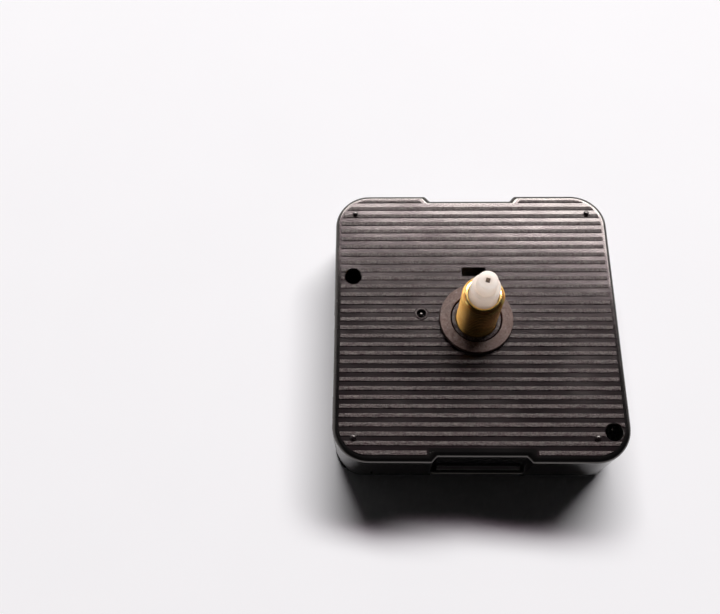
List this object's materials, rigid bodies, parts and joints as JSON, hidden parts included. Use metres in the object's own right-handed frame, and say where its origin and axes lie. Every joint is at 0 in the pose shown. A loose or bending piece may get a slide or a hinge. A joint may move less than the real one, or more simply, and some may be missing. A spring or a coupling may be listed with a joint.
{
  "type": "quartz clock movement",
  "caption": "Black quartz clock movement lying on its back: ribbed square case, threaded brass bush with hour and minute tubes, stepped back with battery bay and setting knob.",
  "frame": {"origin": "on the hand shaft's axis, at the level the movement rests on when it lies on its back", "axes": "+Z along the shaft, out of the face; +Y towards the top edge; +X to the right seen from the face"},
  "size_m": [0.056, 0.0564, 0.0352],
  "materials": {
    "case_black": "satin moulded black plastic",
    "cover_black": "glossy moulded black plastic",
    "brass": "turned brass",
    "rubber": "matt black rubber",
    "white_plastic": "milky white plastic",
    "gear_plastic": "natural acetal",
    "knob_black": "matt black plastic",
    "spring_steel": "spring steel",
    "stator_iron": "soft iron sheet",
    "magnet": "sintered magnet",
    "copper": "enamelled copper wire",
    "board": "green circuit board",
    "resin": "black resin",
    "nickel": "nickel-plated strip"
  },
  "bodies": {
    "movement": {"front_case": "case_black", "rear_cover": "cover_black", "threaded_bush": "brass", "rubber_washer": "rubber", "middle_plate": "gear_plastic", "rotor_bridge": "gear_plastic", "stator": "stator_iron", "coil_core": "stator_iron", "coil_bobbin": "white_plastic", "coil_winding": "copper", "circuit_board": "board", "driver_chip": "resin", "quartz_crystal": "nickel", "positive_contact": "nickel", "negative_contact": "nickel"},
    "hour": {"hour_wheel": "white_plastic"},
    "minute": {"minute_arbor": "white_plastic", "clutch_spring": "spring_steel"},
    "motion": {"motion_wheel": "gear_plastic"},
    "setting": {"setting_shaft": "gear_plastic", "setting_knob": "knob_black"},
    "centre": {"centre_wheel": "gear_plastic"},
    "seconds": {"seconds_wheel": "white_plastic"},
    "third": {"third_wheel": "gear_plastic"},
    "middle": {"middle_wheel": "gear_plastic"},
    "rotor": {"rotor_pinion": "gear_plastic", "rotor_magnet": "magnet"}
  },
  "joints": [
    {"name": "hour_turn", "type": "hinge", "parent": "movement", "child": "hour", "pos_m": [0, 0, 0.0133], "axis": [0, 0, 1], "continuous": true},
    {"name": "minute_turn", "type": "hinge", "parent": "movement", "child": "minute", "pos_m": [0, 0, 0.0121], "axis": [0, 0, 1], "continuous": true},
    {"name": "motion_turn", "type": "hinge", "parent": "movement", "child": "motion", "pos_m": [-0.01073, 0.00132, 0.0121], "axis": [0, 0, 1], "continuous": true},
    {"name": "setting_turn", "type": "hinge", "parent": "movement", "child": "setting", "pos_m": [-0.02114, 0.00422, 0.0121], "axis": [0, 0, 1], "continuous": true},
    {"name": "centre_turn", "type": "hinge", "parent": "movement", "child": "centre", "pos_m": [0, 0, 0.0097], "axis": [0, 0, 1], "continuous": true},
    {"name": "seconds_turn", "type": "hinge", "parent": "movement", "child": "seconds", "pos_m": [0, 0, 0.0072], "axis": [0, 0, 1], "continuous": true},
    {"name": "third_turn", "type": "hinge", "parent": "movement", "child": "third", "pos_m": [-0.00662, 0.00382, 0.0082], "axis": [0, 0, 1], "continuous": true},
    {"name": "middle_turn", "type": "hinge", "parent": "movement", "child": "middle", "pos_m": [0.00441, 0.00525, 0.0062], "axis": [0, 0, 1], "continuous": true},
    {"name": "rotor_turn", "type": "hinge", "parent": "movement", "child": "rotor", "pos_m": [0.01, 0.00343, 0.0047], "axis": [0, 0, 1], "continuous": true}
  ],
  "couplings": [
    {"joint": "motion_turn", "follows": "hour_turn", "ratio": -4},
    {"joint": "minute_turn", "follows": "hour_turn", "ratio": 12},
    {"joint": "setting_turn", "follows": "hour_turn", "ratio": 12},
    {"joint": "middle_turn", "follows": "seconds_turn", "ratio": -5},
    {"joint": "rotor_turn", "follows": "seconds_turn", "ratio": 30},
    {"joint": "third_turn", "follows": "seconds_turn", "ratio": -0.13333},
    {"joint": "centre_turn", "follows": "seconds_turn", "ratio": 0.016667}
  ]
}
